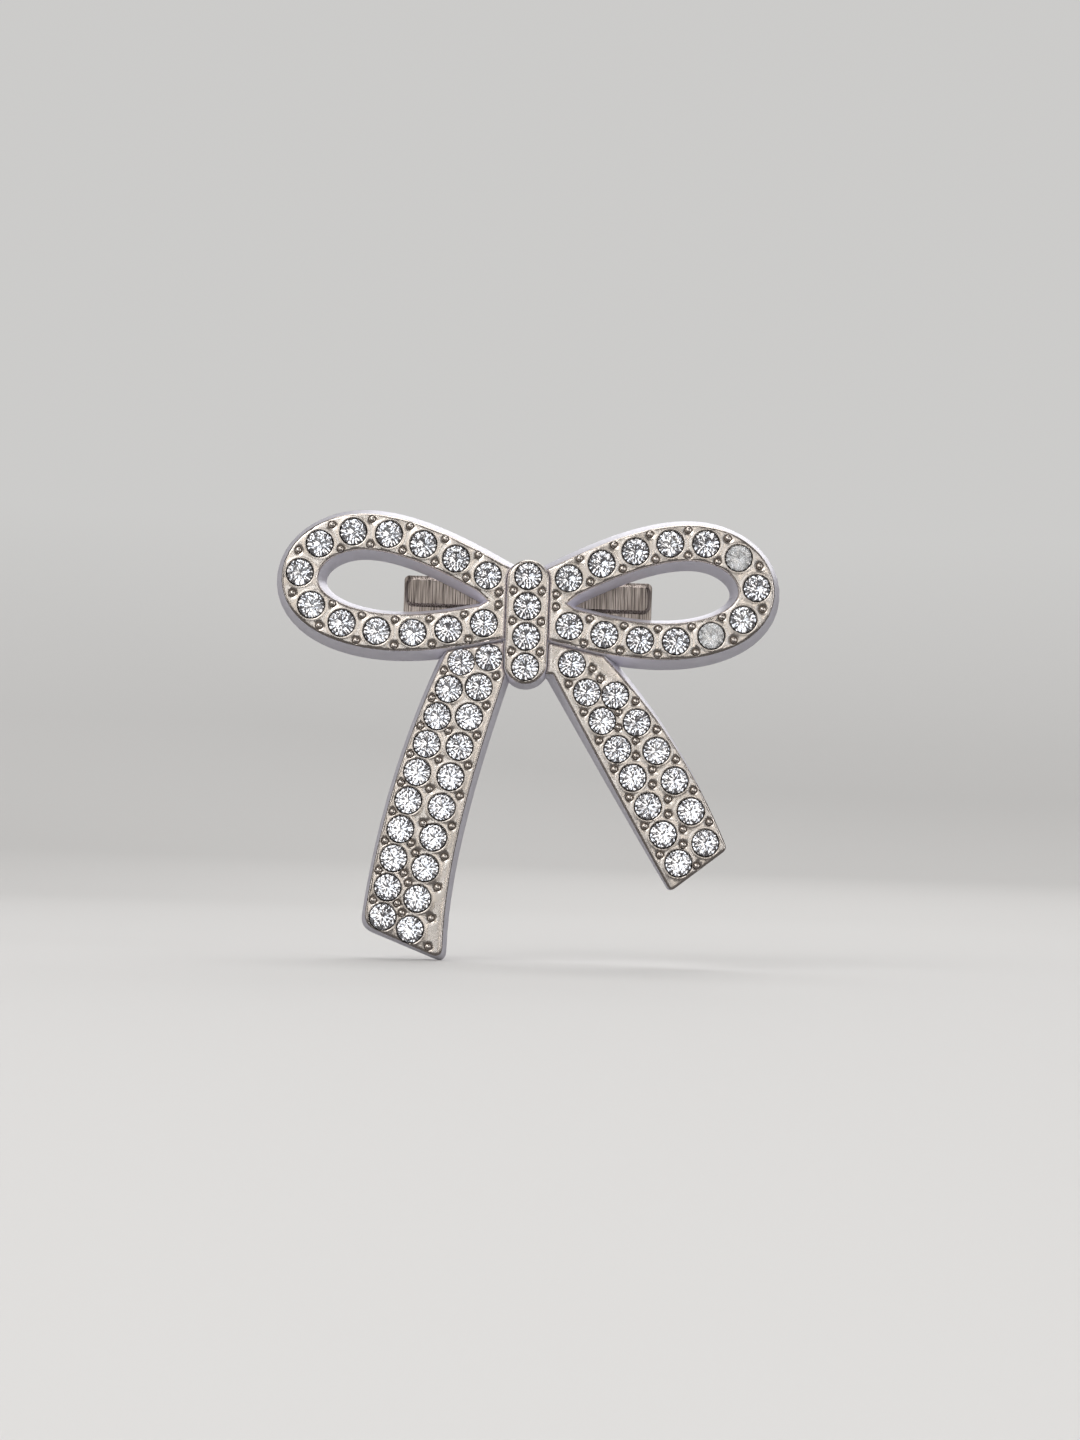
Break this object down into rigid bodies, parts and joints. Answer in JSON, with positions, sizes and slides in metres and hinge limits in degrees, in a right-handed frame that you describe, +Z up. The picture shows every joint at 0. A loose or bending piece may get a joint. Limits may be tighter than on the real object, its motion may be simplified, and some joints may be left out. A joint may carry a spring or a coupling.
{
  "type": "bow brooch",
  "caption": "Openwork bow brooch with two loops, a knot and two tails set with round stones, and a bar pin with a hinged stem and a roll-over safety catch.",
  "frame": {"origin": "on the pin stem's axis, halfway along the bar plate, where the cloth is held", "axes": "-Y is the front with the stones, +Z is up as worn, +X is to the right of someone who looks at the front"},
  "size_m": [0.0506, 0.0094, 0.0449],
  "materials": {
    "plating": "polished, warm champagne-nickel plating over a cast white-metal body",
    "crystal": "clear, cut and foiled behind",
    "milky_crystal": "clouded glass whose foil has gone dull",
    "bar_steel": "brushed, thin plating over stamped steel",
    "pin_steel": "polished nickel"
  },
  "bodies": {
    "brooch": {"left_loop": "plating", "right_loop": "plating", "left_tail": "plating", "right_tail": "plating", "knot": "plating", "left_loop_stone_01": "crystal", "left_loop_stone_02": "crystal", "left_loop_stone_03": "crystal", "left_loop_stone_04": "crystal", "left_loop_stone_05": "crystal", "left_loop_stone_06": "crystal", "left_loop_stone_07": "crystal", "left_loop_stone_08": "crystal", "left_loop_stone_09": "crystal", "left_loop_stone_10": "crystal", "left_loop_stone_11": "crystal", "left_loop_stone_12": "crystal", "left_loop_stone_13": "crystal", "right_loop_stone_01": "crystal", "right_loop_stone_02": "crystal", "right_loop_stone_03": "crystal", "right_loop_stone_04": "crystal", "right_loop_stone_05": "crystal", "right_loop_stone_06": "milky_crystal", "right_loop_stone_07": "crystal", "right_loop_stone_08": "crystal", "right_loop_stone_09": "milky_crystal", "right_loop_stone_10": "crystal", "right_loop_stone_11": "crystal", "right_loop_stone_12": "crystal", "right_loop_stone_13": "crystal", "knot_stone_01": "crystal", "knot_stone_02": "crystal", "knot_stone_03": "crystal", "knot_stone_04": "crystal", "left_tail_stones_01": "crystal", "left_tail_stones_02": "crystal", "left_tail_stones_03": "crystal", "left_tail_stones_04": "crystal", "left_tail_stones_05": "crystal", "left_tail_stones_06": "crystal", "left_tail_stones_07": "crystal", "left_tail_stones_08": "crystal", "left_tail_stones_09": "crystal", "left_tail_stones_10": "crystal", "right_tail_stones_01": "crystal", "right_tail_stones_02": "crystal", "right_tail_stones_03": "crystal", "right_tail_stones_04": "crystal", "right_tail_stones_05": "crystal", "right_tail_stones_06": "crystal", "right_tail_stones_07": "crystal", "right_tail_stones_08": "crystal", "bar_plate": "bar_steel", "hinge_bracket": "bar_steel", "catch_housing": "bar_steel", "hinge_rivet": "pin_steel"},
    "stem": {"pin_stem": "pin_steel"},
    "roller": {"catch_roller": "pin_steel"}
  },
  "joints": [
    {"name": "stem_hinge", "type": "hinge", "parent": "brooch", "child": "stem", "pos_m": [-0.0106, 0, 0], "axis": [0, 0, 1], "range_deg": [0, 75]},
    {"name": "catch_roll", "type": "hinge", "parent": "brooch", "child": "roller", "pos_m": [0.0104, 0, 0], "axis": [1, 0, 0], "range_deg": [0, 120]}
  ]
}
